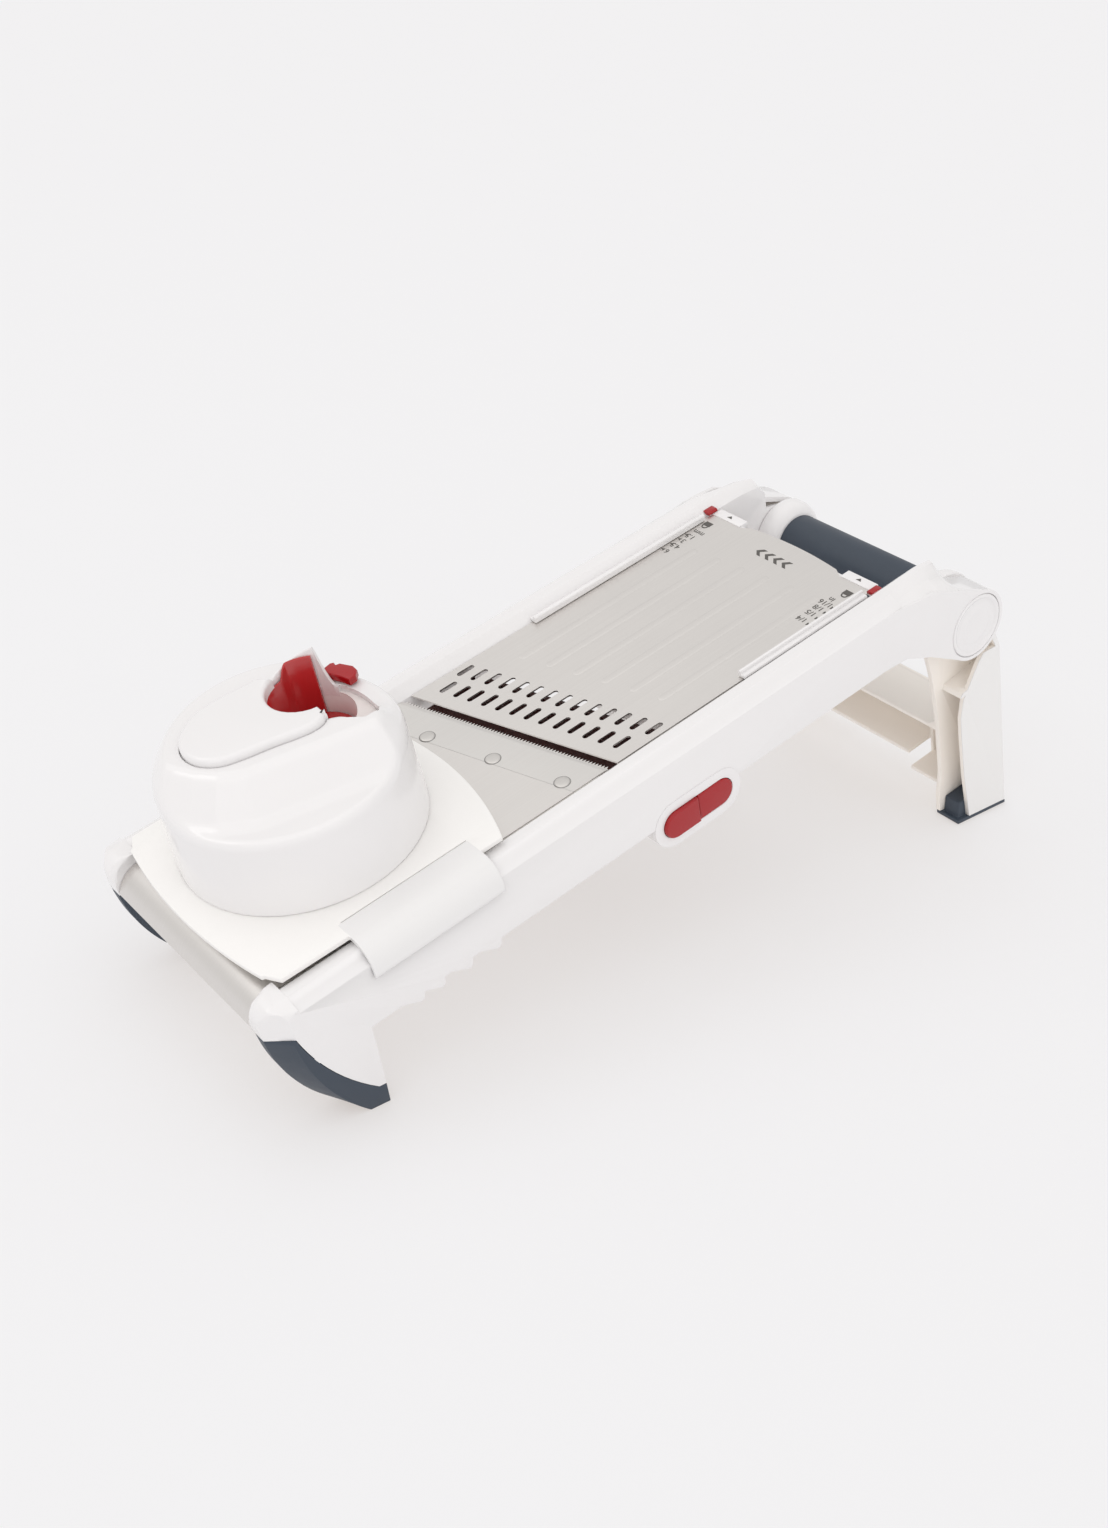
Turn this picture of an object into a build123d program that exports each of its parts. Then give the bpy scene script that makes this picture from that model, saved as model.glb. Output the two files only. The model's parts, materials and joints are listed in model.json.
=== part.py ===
from build123d import *
import math
import os

# Folding kitchen mandoline. Millimetres.
# Parts are drawn in the deck's own frame: +X runs up the deck towards the grip, Y is across
# (the button side is -Y), +Z is square to the steel plates, and Z = 0 is their top face.
# place() then tilts the deck to its working slope and stands the soles on Z = 0.

# ---- driving dimensions ----
DECK_SLOPE = 13.9
GROUND = -103.9          # height of the soles below the deck frame's origin, along the plumb line
FIT = 0.3                # gap between moving bodies
WALL = 2.4

PLATE_HALF = 53.6        # half width of the steel plates
RAIL_IN = 54.0
RAIL_OUT = 71.3
RAIL_BOTTOM = -28.3
RAIL_FRONT = -172.0
RAIL_REAR = 150.0
INNER_WALL_BOTTOM = -22.0

STEEL = 0.8
EDGE_SLOPE = -0.285      # the blade edge runs back by this much for each mm across
RUNWAY_EDGE = -15.7
RUNWAY_END = 151.0
BLADE_EDGE = -20.6
RIVET_Y = (23.9, -10.6, -45.4)
BLADE_BACK = 19.0        # width of the blade strip along the deck
SLOT_PITCH = 7.5
SLOT_LENGTH = 9.4
SLOT_WIDTH = 2.7
LOWER_ROW = -3.5
LOWER_COUNT = 13
UPPER_ROW = 10.1
UPPER_COUNT = 14
TIE_X = (38.0, 119.0)    # middles of the two cross ties

HINGE_X = 195.9
HINGE_Z = -35.4
HUB_R = 17.8
HUB_OUT = 73.4
EYE_R = 15.4
CAP_R = 15.8
PIN_R = 5.0
GRIP_R = 13.3
CORE_R = 8.0
COLLAR_R = 18.6
COLLAR_IN = 43.2

RUNWAY_TRAVEL = 24.0     # the runway slides this far up the deck, and sinks by a quarter of it
RAMP_SLOPE = 0.25
RAMP_STATIONS = (62.0, 112.0)
RAMP_BOTTOM = -17.5
FOOT_BOTTOM = -8.8       # middle of a runway foot's slanted sole

BUTTON_Z = -31.3
BUTTON_R = 6.7
BUTTON_START = 4.4
BUTTON_END = 43.2

HOLDER_Y = 8.2           # the drum stands a little off centre, away from the hooked flap
HOLDER_X = -116.0
DRUM_R = 52.6
DRUM_TOP_R = 51.4
DRUM_WALL = 2.6
BASE_BOTTOM = 6.4
BASE_TOP = 8.6
CAVITY_R = 43.5
SHELF = 45.0             # crescent shelf on the button side
RIDGE = 60.0             # top of the S-shaped finger ridge
FIN_TOP = 68.0
NOTCH_X = 22.0           # middle of the round finger notch, from the drum's middle
NOTCH_Y = 8.5
NOTCH_R = 16.0
PRONG_Y = 6.0            # middle of the prong plate, from the drum's middle
PRONG_R = 24.0
PRONG_PLATE_TOP = 30.0
CUP_TOP = 58.0
CAP_TOP = 63.4

# plans of the holder's shapes, from the drum's middle
RIDGE_TOP = [(33.5, -31.0), (10.7, -25.2), (-11.4, -18.8), (-29.0, -10.5), (-37.0, 1.0), (-40.5, 12.0),
             (-37.0, 24.0), (-22.0, 37.0), (0.0, 43.0), (22.0, 37.0), (36.0, 24.0), (43.0,
                                                                                     4.0), (42.0,
                                                                                            -15.0)]
RIDGE_FOOT = [(30.0, -40.0), (12.0, -40.0), (-9.0, -35.5), (-30.0, -27.0), (-42.0, -14.0),
              (-47.5, 10.0),
              (-43.0, 25.0), (-25.0, 42.0), (0.0, 49.0), (25.0, 42.0), (42.0, 26.0), (49.0, 5.0),
              (46.0, -18.0)]
CAP_PLAN = [(18.0, -12.0), (14.0, -15.5), (6.7, -15.4), (-5.8, -11.6), (-17.5, -8.6), (-26.5, -4.8),
            (-32.4, 3.0), (-33.2, 13.0), (-28.2, 22.0), (-18.0, 28.6), (-6.0, 30.0), (6.0, 28.6),
            (16.0, 24.0), (22.0, 9.0)]
SCOOP = [(NOTCH_X, NOTCH_Y - 17.0), (26.0, -23.0), (35.0, -24.5), (41.5, -10.0), (42.0, 8.0),
         (38.0, 17.0),
         (NOTCH_X, NOTCH_Y + 10.0)]

X_SHIFT = -34.8          # brings the middle of the whole model to X = 0


def place(shape):
    """Tilt a part drawn in the deck frame to the working slope, soles at Z = 0."""
    return Pos(X_SHIFT, 0, -GROUND) * Rot(0, -DECK_SLOPE, 0) * shape


def sole_z(x):
    """Height in the deck frame of the table top under a point x along the deck."""
    slope = math.radians(DECK_SLOPE)
    return (GROUND - math.sin(slope) * x) / math.cos(slope)


def side_plate(points, near, far):
    """Extrude an X-Z outline from |Y| = near to |Y| = far on the button side."""
    face = Plane.XZ.offset(near) * make_face(Polyline(*points, close=True))
    return extrude(face, far - near)


def cross_section(points, start, end):
    """Extrude an outline of (|Y|, Z) points along the deck, on the button side."""
    flat = [(-y, z) for y, z in points]
    face = Plane.YZ.offset(start) * make_face(Polyline(*flat, close=True))
    return extrude(face, end - start)


def block(x0, x1, y0, y1, z0, z1):
    return Pos((x0 + x1) / 2, (y0 + y1) / 2, (z0 + z1) / 2) * Box(x1 - x0, y1 - y0, z1 - z0)


def cross_rod(x, z, radius, y0, y1):
    """A cylinder across the deck."""
    return Pos(x, (y0 + y1) / 2, z) * Rot(90, 0, 0) * Cylinder(radius, y1 - y0)


def upright(x, y, radius, z0, z1):
    return Pos(x, y, (z0 + z1) / 2) * Cylinder(radius, z1 - z0)


def far_side(shape):
    return mirror(shape, about=Plane.XZ)


def slanted_strip(front, back, half, z0, z1):
    """A strip across the deck whose edges run parallel to the cutting edge."""
    points = [(front - EDGE_SLOPE * half, -half), (back - EDGE_SLOPE * half, -half),
              (back + EDGE_SLOPE * half, half), (front + EDGE_SLOPE * half, half)]
    return extrude(Pos(0, 0, z0) * make_face(Polyline(*points, close=True)), z1 - z0)


# ---- side rails with their front legs and rear hubs ----
def rail(with_buttons):
    profile = [(RAIL_IN, INNER_WALL_BOTTOM), (RAIL_IN, -0.4), (57.5, 3.0), (59.2, 4.4), (65.0, 4.8),
               (68.2, 2.8), (RAIL_OUT, 0.2), (RAIL_OUT, RAIL_BOTTOM), (RAIL_OUT - WALL, RAIL_BOTTOM),
               (RAIL_OUT - WALL, -1.4), (67.0, 0.8), (64.4, 2.4), (60.0, 2.0), (56.4, -1.2),
               (56.4, INNER_WALL_BOTTOM)]
    beam = cross_section(profile, RAIL_FRONT, RAIL_REAR)
    # the inner wall is cut back where the folded stand tucks in beside it
    beam -= block(128, RAIL_REAR + 1, -57, -RAIL_IN + 1, INNER_WALL_BOTTOM - 1, -14)

    # front leg: white web above the rubber shoe
    with BuildLine() as leg_line:
        Polyline((-146.2, RAIL_BOTTOM + 1), (-147.9, -60.0), (-151.2, -59.3))
        ThreePointArc((-151.2, -59.3), (-167.6, -34.8), (-176.1, -10.8))
        Polyline((-176.1, -10.8), (-176.1, 0.0), (-146.2, 0.0), (-146.2, RAIL_BOTTOM + 1))
    leg = extrude(Plane.XZ.offset(61.6) * make_face(leg_line.line), RAIL_OUT - 61.6)

    # rounded nose that closes the beam's front end
    with BuildLine() as nose_line:
        Polyline((-171.5, -10.8), (-185.2, -10.8), (-185.6, -3.0))
        ThreePointArc((-185.6, -3.0), (-183.2, 2.6), (-177.5, 4.8))
        Polyline((-177.5, 4.8), (-171.5, 4.8), (-171.5, -10.8))
    nose = extrude(Plane.XZ.offset(RAIL_IN) * make_face(nose_line.line), RAIL_OUT - RAIL_IN)
    slope_cut = Polyline((-RAIL_OUT - 2, 1.2), (-65.0, 4.8), (-65.0, 8), (-RAIL_OUT - 2, 8), close=True)
    nose -= extrude(Plane.YZ.offset(-190) * make_face(slope_cut), 20)
    corner = Polyline((-188, -61.6), (-185.7, -61.6), (-176.1, -RAIL_OUT), (-176.1, -75), (-188, -75),
                      close=True)
    nose -= extrude(Pos(0, 0, -30) * make_face(corner), 40)

    # bowl notches under the beam: saw-toothed lip that hooks on a rim
    lip = []
    for tip in (-84.6, -99.1, -113.0, -123.1):
        lip.append(side_plate([(tip - 9.4, RAIL_BOTTOM + 0.5), (tip, RAIL_BOTTOM - 4.4),
                               (tip + 1.6, RAIL_BOTTOM - 3.6), (tip + 2.6, RAIL_BOTTOM + 0.5)],
                              RAIL_OUT - WALL, RAIL_OUT))

    # boss around the two red buttons
    mid = (BUTTON_START + BUTTON_END) / 2
    length = BUTTON_END - BUTTON_START
    boss_face = Pos(mid, BUTTON_Z) * SlotOverall(length + 9.6, 2 * BUTTON_R + 9.6)
    boss = extrude(Plane.XZ.offset(62.0) * boss_face, RAIL_OUT + 0.4 - 62.0)
    well_face = Pos(mid, BUTTON_Z) * SlotOverall(length + 2 * FIT, 2 * BUTTON_R + 2 * FIT)
    well = extrude(Plane.XZ.offset(60.0) * well_face, 15)

    # hub skin and the crown's horn at the rear
    with BuildLine() as flare_line:
        Polyline((138.0, RAIL_BOTTOM), (151.0, RAIL_BOTTOM), (165.0, -35.2), (183.6, -48.2))
        ThreePointArc((183.6, -48.2), (212.6, -41.6), (204.4, -19.8))
        Polyline((204.4, -19.8), (186.0, -10.4), (170.0, -2.0), (150.0, 0.2), (138.0, 0.2),
                 (138.0, RAIL_BOTTOM))
    skin = extrude(Plane.XZ.offset(RAIL_OUT - 0.2) * make_face(flare_line.line),
                   HUB_OUT - RAIL_OUT + 0.2)
    # the skin eases out of the beam's side over a short ramp, and clears the stand behind it
    ease = Polyline((130, -RAIL_OUT), (137.9, -RAIL_OUT), (160.0, -HUB_OUT), (160.0, -80), (130, -80),
                    close=True)
    skin -= extrude(Pos(0, 0, -60) * make_face(ease), 80)
    skin -= block(RAIL_REAR, 230, -RAIL_OUT - FIT, -RAIL_OUT + 1, -60, 10)
    rim_line = Polyline((185.0, -9.6), (204.4, -19.6), (203.2, -21.6), (185.0, -12.6), close=True)
    roof = extrude(Plane.XZ.offset(57.0) * make_face(rim_line), HUB_OUT - 57.0)
    ring = cross_rod(HINGE_X, HINGE_Z, HUB_R, -HUB_OUT, -57.0)
    ring -= cross_rod(HINGE_X, HINGE_Z, HUB_R - 2.0, -HUB_OUT - 1, -56.0)
    ring &= side_plate([(HINGE_X, HINGE_Z - 4), (230, HINGE_Z - 4), (230, -10), (203.6, -18.0)],
                       56.0, HUB_OUT + 1)
    # the crown narrows to a rounded horn while its outer flank drops to the hub
    stations = (
        (149, [(54, -14), (54, -0.4), (57.5, 3.0), (59.2, 4.4), (65, 4.8), (68.2, 2.8), (71.3, 0.2),
               (71.3, -14)]),
        (162, [(54, -14), (54, -0.4), (57.3, 3.0), (59.2, 4.4), (62.5, 4.2), (67, 1.5), (73.0, -1.6),
               (73.0, -14)]),
        (174, [(54, -15), (54, -0.6), (57, 2.6), (58.8, 4.0), (61, 3.4), (65.5, -1.0), (73.4, -5.0),
               (73.4, -15)]),
        (183, [(54, -16), (54, -2), (56.8, 1.0), (58.2, 1.8), (59.6, 0.9), (63, -4.4), (73.4, -9.0),
               (73.4, -16)]),
        (187, [(54, -16), (54, -7), (56.6, -5.6), (58, -5.2), (59.4, -6.2), (63, -9.0), (73.4, -11),
               (73.4, -16)]),
    )
    outlines = []
    for x, points in stations:
        flat = [(-y, z) for y, z in points]
        outlines.append(Plane.YZ.offset(x) * make_face(Polyline(*flat, close=True)))
    horn = loft(outlines, ruled=True)
    # inner cheek that carries the grip
    cheek = side_plate([(150, -13), (177, -13), (200, -20), (206, -24), (206, -46), (199, -51),
                        (189, -51), (150, -18)], RAIL_IN, 56.4)
    shell = beam + leg + nose + skin + roof + ring + horn + cheek
    for piece in lip:
        shell += piece
    if with_buttons:
        shell += boss
        shell -= well
    shell -= front_foot_near()
    shell -= cross_rod(HINGE_X, HINGE_Z, PIN_R, -80, -40)
    shell -= cross_rod(HINGE_X, HINGE_Z, CAP_R + 0.2, -80, -HUB_OUT + 1.2)
    return shell


# ---- rubber shoes on the front legs ----
def front_foot_near():
    def shoe(top, middle, toe, flank):
        with BuildLine() as line:
            ThreePointArc(top, middle, toe)
            Polyline(toe, (-148.6, sole_z(-148.6)), (-147.9, -60.2), (-151.2, -59.5))
            ThreePointArc((-151.2, -59.5), (-167.8, -34.9), flank)
            Line(flank, top)
        return make_face(line.line)

    inner = shoe((-185.2, -10.8), (-178.0, -41.5), (-160.6, sole_z(-160.6)), (-176.3, -10.8))
    outer = shoe((-177.4, -10.8), (-172.6, -38.6), (-157.6, sole_z(-157.6)), (-176.3, -10.8))
    body = extrude(Plane.XZ.offset(56.0) * inner, 5.6)
    taper = loft([Plane.XZ.offset(61.6) * inner, Plane.XZ.offset(RAIL_OUT) * outer], ruled=True)
    return body + taper


# ---- fixed deck ----
def landing_bed():
    """Moulded tray under the fixed plate; it ties the two rails together at the front."""
    def edge(y):
        return BLADE_EDGE - 9.0 + EDGE_SLOPE * y
    outline = [(-170, -RAIL_IN), (edge(-RAIL_IN), -RAIL_IN), (edge(RAIL_IN), RAIL_IN), (-170, RAIL_IN)]
    bed = extrude(Pos(0, 0, -3.2) * make_face(Polyline(*outline, close=True)), 3.2 - STEEL)
    for x in (-150.0, -110.0, -70.0):
        bed += block(x - 1, x + 1, -RAIL_IN, RAIL_IN, -5.4, -3.2)
    bed += block(-170, -167.6, -RAIL_IN, RAIL_IN, -8, -3.2)
    for y in RIVET_Y:
        bed -= upright(rivet_x(y), y, 1.55, -5, 0)
    return bed


def landing_plate():
    def edge(y):
        return BLADE_EDGE - BLADE_BACK - 0.1 + EDGE_SLOPE * y
    outline = [(-172, -PLATE_HALF), (edge(-PLATE_HALF), -PLATE_HALF), (edge(PLATE_HALF), PLATE_HALF),
               (-172, PLATE_HALF)]
    sheet = extrude(Pos(0, 0, -STEEL) * make_face(Polyline(*outline, close=True)), STEEL)
    with BuildLine() as curl:
        ThreePointArc((-172, 0), (-180.0, -2.6), (-185.2, -9.6))
        Line((-185.2, -9.6), (-184.4, -10.2))
        ThreePointArc((-184.4, -10.2), (-179.4, -3.4), (-172, -0.8))
        Line((-172, -0.8), (-172, 0))
    lip = extrude(Plane.XZ.offset(-PLATE_HALF) * make_face(curl.line), 2 * PLATE_HALF)
    return sheet + lip


def blade():
    strip = slanted_strip(BLADE_EDGE - BLADE_BACK, BLADE_EDGE, PLATE_HALF, -STEEL, 0)
    # the grind: the top face runs down to a thin edge
    half = PLATE_HALF + 1
    grind = Polyline((BLADE_EDGE - 2.2, 0), (BLADE_EDGE + 0.2, -0.55), (BLADE_EDGE + 3, 0.6),
                     (BLADE_EDGE - 2.2, 0.6), close=True)
    front = Plane(origin=(-EDGE_SLOPE * half, -half, 0), x_dir=(1, 0, 0),
                  z_dir=(0, -1, 0)) * make_face(grind)
    strip -= extrude(front, dir=(EDGE_SLOPE, 1, 0), amount=2 * half * math.hypot(1, EDGE_SLOPE))
    for y in RIVET_Y:
        strip -= upright(rivet_x(y), y, 1.6, -2, 1)
    return strip


def rivet_x(y):
    return BLADE_EDGE - 16.0 + EDGE_SLOPE * y


def blade_rivets():
    rivets = []
    for y in RIVET_Y:
        head = upright(rivet_x(y), y, 3.4, 0.02, 0.5)
        head = fillet(head.faces().sort_by(Axis.Z)[-1].edges(), 0.3)
        shank = upright(rivet_x(y), y, 1.5, -3.6, 0.1)
        rivets.append(head + shank + upright(rivet_x(y), y, 2.6, -4.2, -3.22))
    return Compound(children=rivets)


def cross_tie(x0, x1):
    """A bar under the deck that joins the rails' inner walls."""
    return block(x0, x1, -RAIL_IN, RAIL_IN, INNER_WALL_BOTTOM, INNER_WALL_BOTTOM + 4.0)


def tie_screws():
    screws = []
    for x in TIE_X:
        for side in (-1, 1):
            head = upright(x, side * 49.0, 3.0, INNER_WALL_BOTTOM - 1.6, INNER_WALL_BOTTOM - 0.02)
            cross = block(x - 2, x + 2, side * 49.0 - 0.4, side * 49.0 + 0.4,
                          INNER_WALL_BOTTOM - 1.7, INNER_WALL_BOTTOM - 0.9)
            cross += block(x - 0.4, x + 0.4, side * 49.0 - 2, side * 49.0 + 2,
                           INNER_WALL_BOTTOM - 1.7, INNER_WALL_BOTTOM - 0.9)
            screws.append(head - cross)
    return Compound(children=screws)


# ---- runway: the adjustable deck ----
def runway_plate():
    def edge(y):
        return RUNWAY_EDGE + EDGE_SLOPE * y
    with BuildLine() as line:
        Polyline((RUNWAY_END, -33), (RUNWAY_END, -PLATE_HALF + 1.6),
                 (RUNWAY_END - 3.6, -PLATE_HALF + 1.6),
                 (RUNWAY_END - 3.6, -PLATE_HALF), (edge(-PLATE_HALF), -PLATE_HALF),
                 (edge(PLATE_HALF), PLATE_HALF), (RUNWAY_END - 3.6, PLATE_HALF),
                 (RUNWAY_END - 3.6, PLATE_HALF - 1.6), (RUNWAY_END, PLATE_HALF - 1.6), (RUNWAY_END, 33),
                 (RUNWAY_END + 3.0, 28))
        ThreePointArc((RUNWAY_END + 3.0, 28), (RUNWAY_END + 5.0, 0), (RUNWAY_END + 3.0, -28))
        Line((RUNWAY_END + 3.0, -28), (RUNWAY_END, -33))
    sheet = extrude(Pos(0, 0, -STEEL) * make_face(line.line), STEEL)
    for x, y in slot_places():
        sheet -= extrude(Pos(x, y, -2) * SlotOverall(SLOT_LENGTH, SLOT_WIDTH), 4)
    return sheet


def slot_row(centre, count):
    places = []
    for i in range(count):
        y = (i - (count - 1) / 2) * SLOT_PITCH
        places.append((centre + EDGE_SLOPE * y, y))
    return places


def slot_places():
    return slot_row(LOWER_ROW, LOWER_COUNT) + slot_row(UPPER_ROW, UPPER_COUNT)


def runway_carrier():
    """White frame under the sheet, with thumb tabs at its upper end and slanted feet."""
    frame = block(30, RUNWAY_END + 2.6, -45, 45, -1.8, -STEEL)
    for side in (-1, 1):
        y0, y1 = sorted((side * 44.0, side * PLATE_HALF))
        frame += block(34, RUNWAY_END - 3.6, y0, y1, -1.8, -STEEL)
        y0, y1 = sorted((side * 52.2, side * PLATE_HALF))
        frame += block(34, RUNWAY_END - 3.6, y0, y1, -5.0, -1.8)
        y0, y1 = sorted((side * 33.4, side * 51.6))
        frame += block(RUNWAY_END + 0.1, RUNWAY_END + 5.6, y0, y1, -3.0, 0.5)
        for x in RAMP_STATIONS:
            rise = 3.0 * RAMP_SLOPE
            foot = side_plate([(x - 3, -1.8), (x - 3, FOOT_BOTTOM + rise), (x + 3, FOOT_BOTTOM - rise),
                               (x + 3, -1.8)], 46.4, 49.4)
            frame += foot if side < 0 else far_side(foot)
    for x in (50.0, 80.0, 110.0, 140.0):
        frame += block(x - 1, x + 1, -44, 44, -3.2, -1.8)
    return frame


def ramp_rail_near():
    """Slanted rests inside the rail; the runway's feet slide down them as it is drawn up the deck."""
    rests = block(RAMP_STATIONS[0] - 4, RAMP_STATIONS[-1] + RUNWAY_TRAVEL + 4, -RAIL_IN, -46.0,
                  RAMP_BOTTOM, RAMP_BOTTOM + 1.3)
    for x in RAMP_STATIONS:
        top = FOOT_BOTTOM - FIT
        low = top - RAMP_SLOPE * (RUNWAY_TRAVEL + 4)
        rests += side_plate([(x - 4, RAMP_BOTTOM), (x - 4, top + RAMP_SLOPE * 4),
                             (x + RUNWAY_TRAVEL + 4, low), (x + RUNWAY_TRAVEL + 4, RAMP_BOTTOM)],
                            46.0, 51.4)
    return rests


def guide_strip_near(start=71.0, end=146.0):
    """Plastic runner on the rail's inner edge; it stands just clear of the sheet's edge."""
    outline = [(50.8, FIT), (54.6, FIT), (54.9, 0.6), (54.9, 2.0), (52.6, 2.0), (52.6, 3.6),
               (51.4, 3.6),
               (50.8, 3.0)]
    return cross_section(outline, start, end)


def index_pointer_near():
    """Red pointer on the rail; the marks on the sheet run past it."""
    outline = [(52.0, FIT), (54.6, FIT), (56.2, 1.9), (52.6, 1.9), (52.0, 1.3)]
    return cross_section(outline, 148.6, 154.4)


# ---- julienne combs ----
def comb(centre, count, front, back):
    """Row of upright teeth on a slanted bar under the runway."""
    bar = slanted_strip(front, back, 50.2, -10.4, -8.4)
    for x, y in slot_row(centre, count):
        tooth = Polyline((x - 3.6, -8.8), (x - 3.6, -5.6), (x - 1.6, -3.6), (x + 3.6, -3.6),
                         (x + 3.6, -8.8),
                         close=True)
        bar += extrude(Plane.XZ.offset(-y - 0.5) * make_face(tooth), 1.0)
    return bar


def button(start, end, proud):
    """One half of the oval push control."""
    mid = (BUTTON_START + BUTTON_END) / 2
    oval = Pos(mid, BUTTON_Z) * SlotOverall(BUTTON_END - BUTTON_START, 2 * BUTTON_R)
    body = extrude(Plane.XZ.offset(64.0) * oval, RAIL_OUT + proud - 64.0)
    body &= block(start, end, -90, -50, -60, 0)
    stem = block(start + 5.0, end - 5.0, -64.2, -57.2, BUTTON_Z - 2.0, BUTTON_Z + 2.0)
    face = body.faces().sort_by(Axis.Y)[0]
    body = fillet(face.edges(), 0.9)
    return body + stem


# ---- grip and hinge ----
def grip_core():
    tube = cross_rod(HINGE_X, HINGE_Z, CORE_R, -RAIL_IN, RAIL_IN)
    return tube - cross_rod(HINGE_X, HINGE_Z, PIN_R, -60, 60)


def grip_sleeve():
    sleeve = cross_rod(HINGE_X, HINGE_Z, GRIP_R, -COLLAR_IN, COLLAR_IN)
    return sleeve - cross_rod(HINGE_X, HINGE_Z, CORE_R, -60, 60)


def grip_collar_near():
    with BuildLine() as line:
        Polyline((CORE_R, -COLLAR_IN), (GRIP_R + 0.6, -COLLAR_IN))
        ThreePointArc((GRIP_R + 0.6, -COLLAR_IN), (COLLAR_R - 1.2, -COLLAR_IN - 3.2),
                      (COLLAR_R, -COLLAR_IN - 8.0))
        Polyline((COLLAR_R, -COLLAR_IN - 8.0), (COLLAR_R, -RAIL_IN), (CORE_R, -RAIL_IN),
                 (CORE_R, -COLLAR_IN))
    ring = revolve(make_face(line.line), Axis.Y)
    return Pos(HINGE_X, 0, HINGE_Z) * ring


def hinge_pin_near():
    return cross_rod(HINGE_X, HINGE_Z, PIN_R, -HUB_OUT + 1.2, -30.0)


def hinge_cap_near():
    disc = cross_rod(HINGE_X, HINGE_Z, CAP_R, -HUB_OUT - 0.3, -HUB_OUT + 1.2)
    disc -= cross_rod(HINGE_X, HINGE_Z, CAP_R - 2.6, -HUB_OUT - 2, -HUB_OUT + 0.7)
    return disc


# ---- folding rear stand ----
def stand_leg_near():
    """Channel-section leg, open towards the front, with the eye that turns on the hinge pin."""
    rear_top = 214.0
    rear_foot = 216.4
    outer = [(203.0, -56.5), (199.2, -60.6), (193.0, -69.8), (188.6, -76.1), (186.4, -86.8),
             (186.6, -99.4),
             (187.6, -123.0), (190.2, sole_z(190.2) + 2.4), (rear_foot, sole_z(rear_foot) + 2.4),
             (rear_top, -58.0)]
    inner = [(183.0, -44.0), (177.6, -50.4), (180.0, -62.6), (181.6, -75.6), (183.2, -90.7),
             (184.0, -125.0), (182.0, -139.0), (182.0, sole_z(182.0) + 2.4),
             (rear_foot, sole_z(rear_foot) + 2.4), (rear_top, -58.0), (209.0, -43.0)]
    web = [(rear_top - WALL, -58.0), (rear_foot - WALL, sole_z(rear_foot) + 2.4),
           (rear_foot, sole_z(rear_foot) + 2.4), (rear_top, -58.0), (208.6, -42.0), (206.0, -44.0)]
    leg = side_plate(outer, RAIL_OUT - WALL, RAIL_OUT)
    leg += side_plate(inner, 57.0, 57.0 + WALL)
    leg += side_plate(web, 57.0, RAIL_OUT)
    leg += side_plate([(186.6, -74.4), (212.5, -72.0), (212.5, -70.0), (188.0, -72.2)], 57.0, RAIL_OUT)
    leg += cross_rod(HINGE_X, HINGE_Z, EYE_R, -RAIL_OUT + 0.6, -57.0)
    leg -= cross_rod(HINGE_X, HINGE_Z, PIN_R + 0.05, -80, -40)
    return leg - rear_foot_near()


def stand_cross_member():
    """Wide channel between the legs, open towards the front; its middle arches higher."""
    half = 57.0
    panel = [(-half, -102.0), (half, -102.0), (half, -141.5), (34.0, -141.5), (30.0, -132.0),
             (-30.0, -132.0),
             (-34.0, -141.5), (-half, -141.5)]
    member = extrude(Plane.YZ.offset(212.6) * make_face(Polyline(*panel, close=True)), WALL)
    member += block(188.0, 214.0, -half, half, -104.4, -102.0)
    for side in (-1, 1):
        y0, y1 = sorted((side * 33.0, side * half))
        member += block(190.0, 214.0, y0, y1, -141.5, -139.3)
        member += block(206.0, 214.0, side * 33.0 - 1.0, side * 33.0 + 1.0, -141.5, -104.4)
        # gusset that rounds the window's corner
        corner = [(side * half, -102.2), (side * half, -90.0), (side * 54.5, -97.0),
                  (side * 48.0, -102.2)]
        member += extrude(Plane.YZ.offset(188.0) * make_face(Polyline(*corner, close=True)), 24.0)
    member += block(190.0, 214.0, -32.0, 32.0, -132.0, -129.8)
    return member


def rear_foot_near():
    top = -142.0
    plug = side_plate([(186.0, top), (211.0, top), (213.4, sole_z(213.4) + 2.2),
                       (184.5, sole_z(184.5) + 2.2)],
                      59.6, RAIL_OUT - WALL - 0.1)
    sole = side_plate([(182.0, sole_z(182.0) + 2.3), (217.0, sole_z(217.0) + 2.3),
                       (217.0, sole_z(217.0)),
                       (182.0, sole_z(182.0))], 57.0, RAIL_OUT)
    return plug + sole


# ---- food holder ----
def holder_base():
    front_r = 266.0
    rear_r = 155.0
    front = -179.3
    rear = -52.9
    half = 61.0
    plan = [(front - 1, -50.0), (-173.0, -52.6), (-169.5, -59.4), (-139.0, -60.0), (-139.0, -half),
            (rear + 1, -half), (rear + 1, half), (-139.0, half), (-139.0, 60.0), (-169.5, 59.4),
            (-173.0, 52.6), (front - 1, 50.0)]
    slab = extrude(Pos(0, 0, BASE_BOTTOM) * make_face(Polyline(*plan, close=True)),
                   BASE_TOP - BASE_BOTTOM)
    slab &= upright(front + front_r, 0, front_r, 0, 20)
    slab &= upright(rear - rear_r, 0, rear_r, 0, 20)
    slab -= upright(HOLDER_X, HOLDER_Y, CAVITY_R, 0, 20)
    # the flap's slit on the button side
    slab -= block(-137.0, -76.5, -51.9, -51.3, 0, 20)
    return slab


def holder_wing_near():
    """Hooked flap that wraps over the rail."""
    outline = [(61.02, BASE_BOTTOM), (65.6, BASE_BOTTOM), (69.4, 4.4), (71.8, 1.6), (71.8, -5.6),
               (73.4, -5.6), (74.0, 2.6), (70.4, 6.8), (65.0, BASE_TOP), (61.02, BASE_TOP)]
    return cross_section(outline, -139.0, -76.0)


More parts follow.
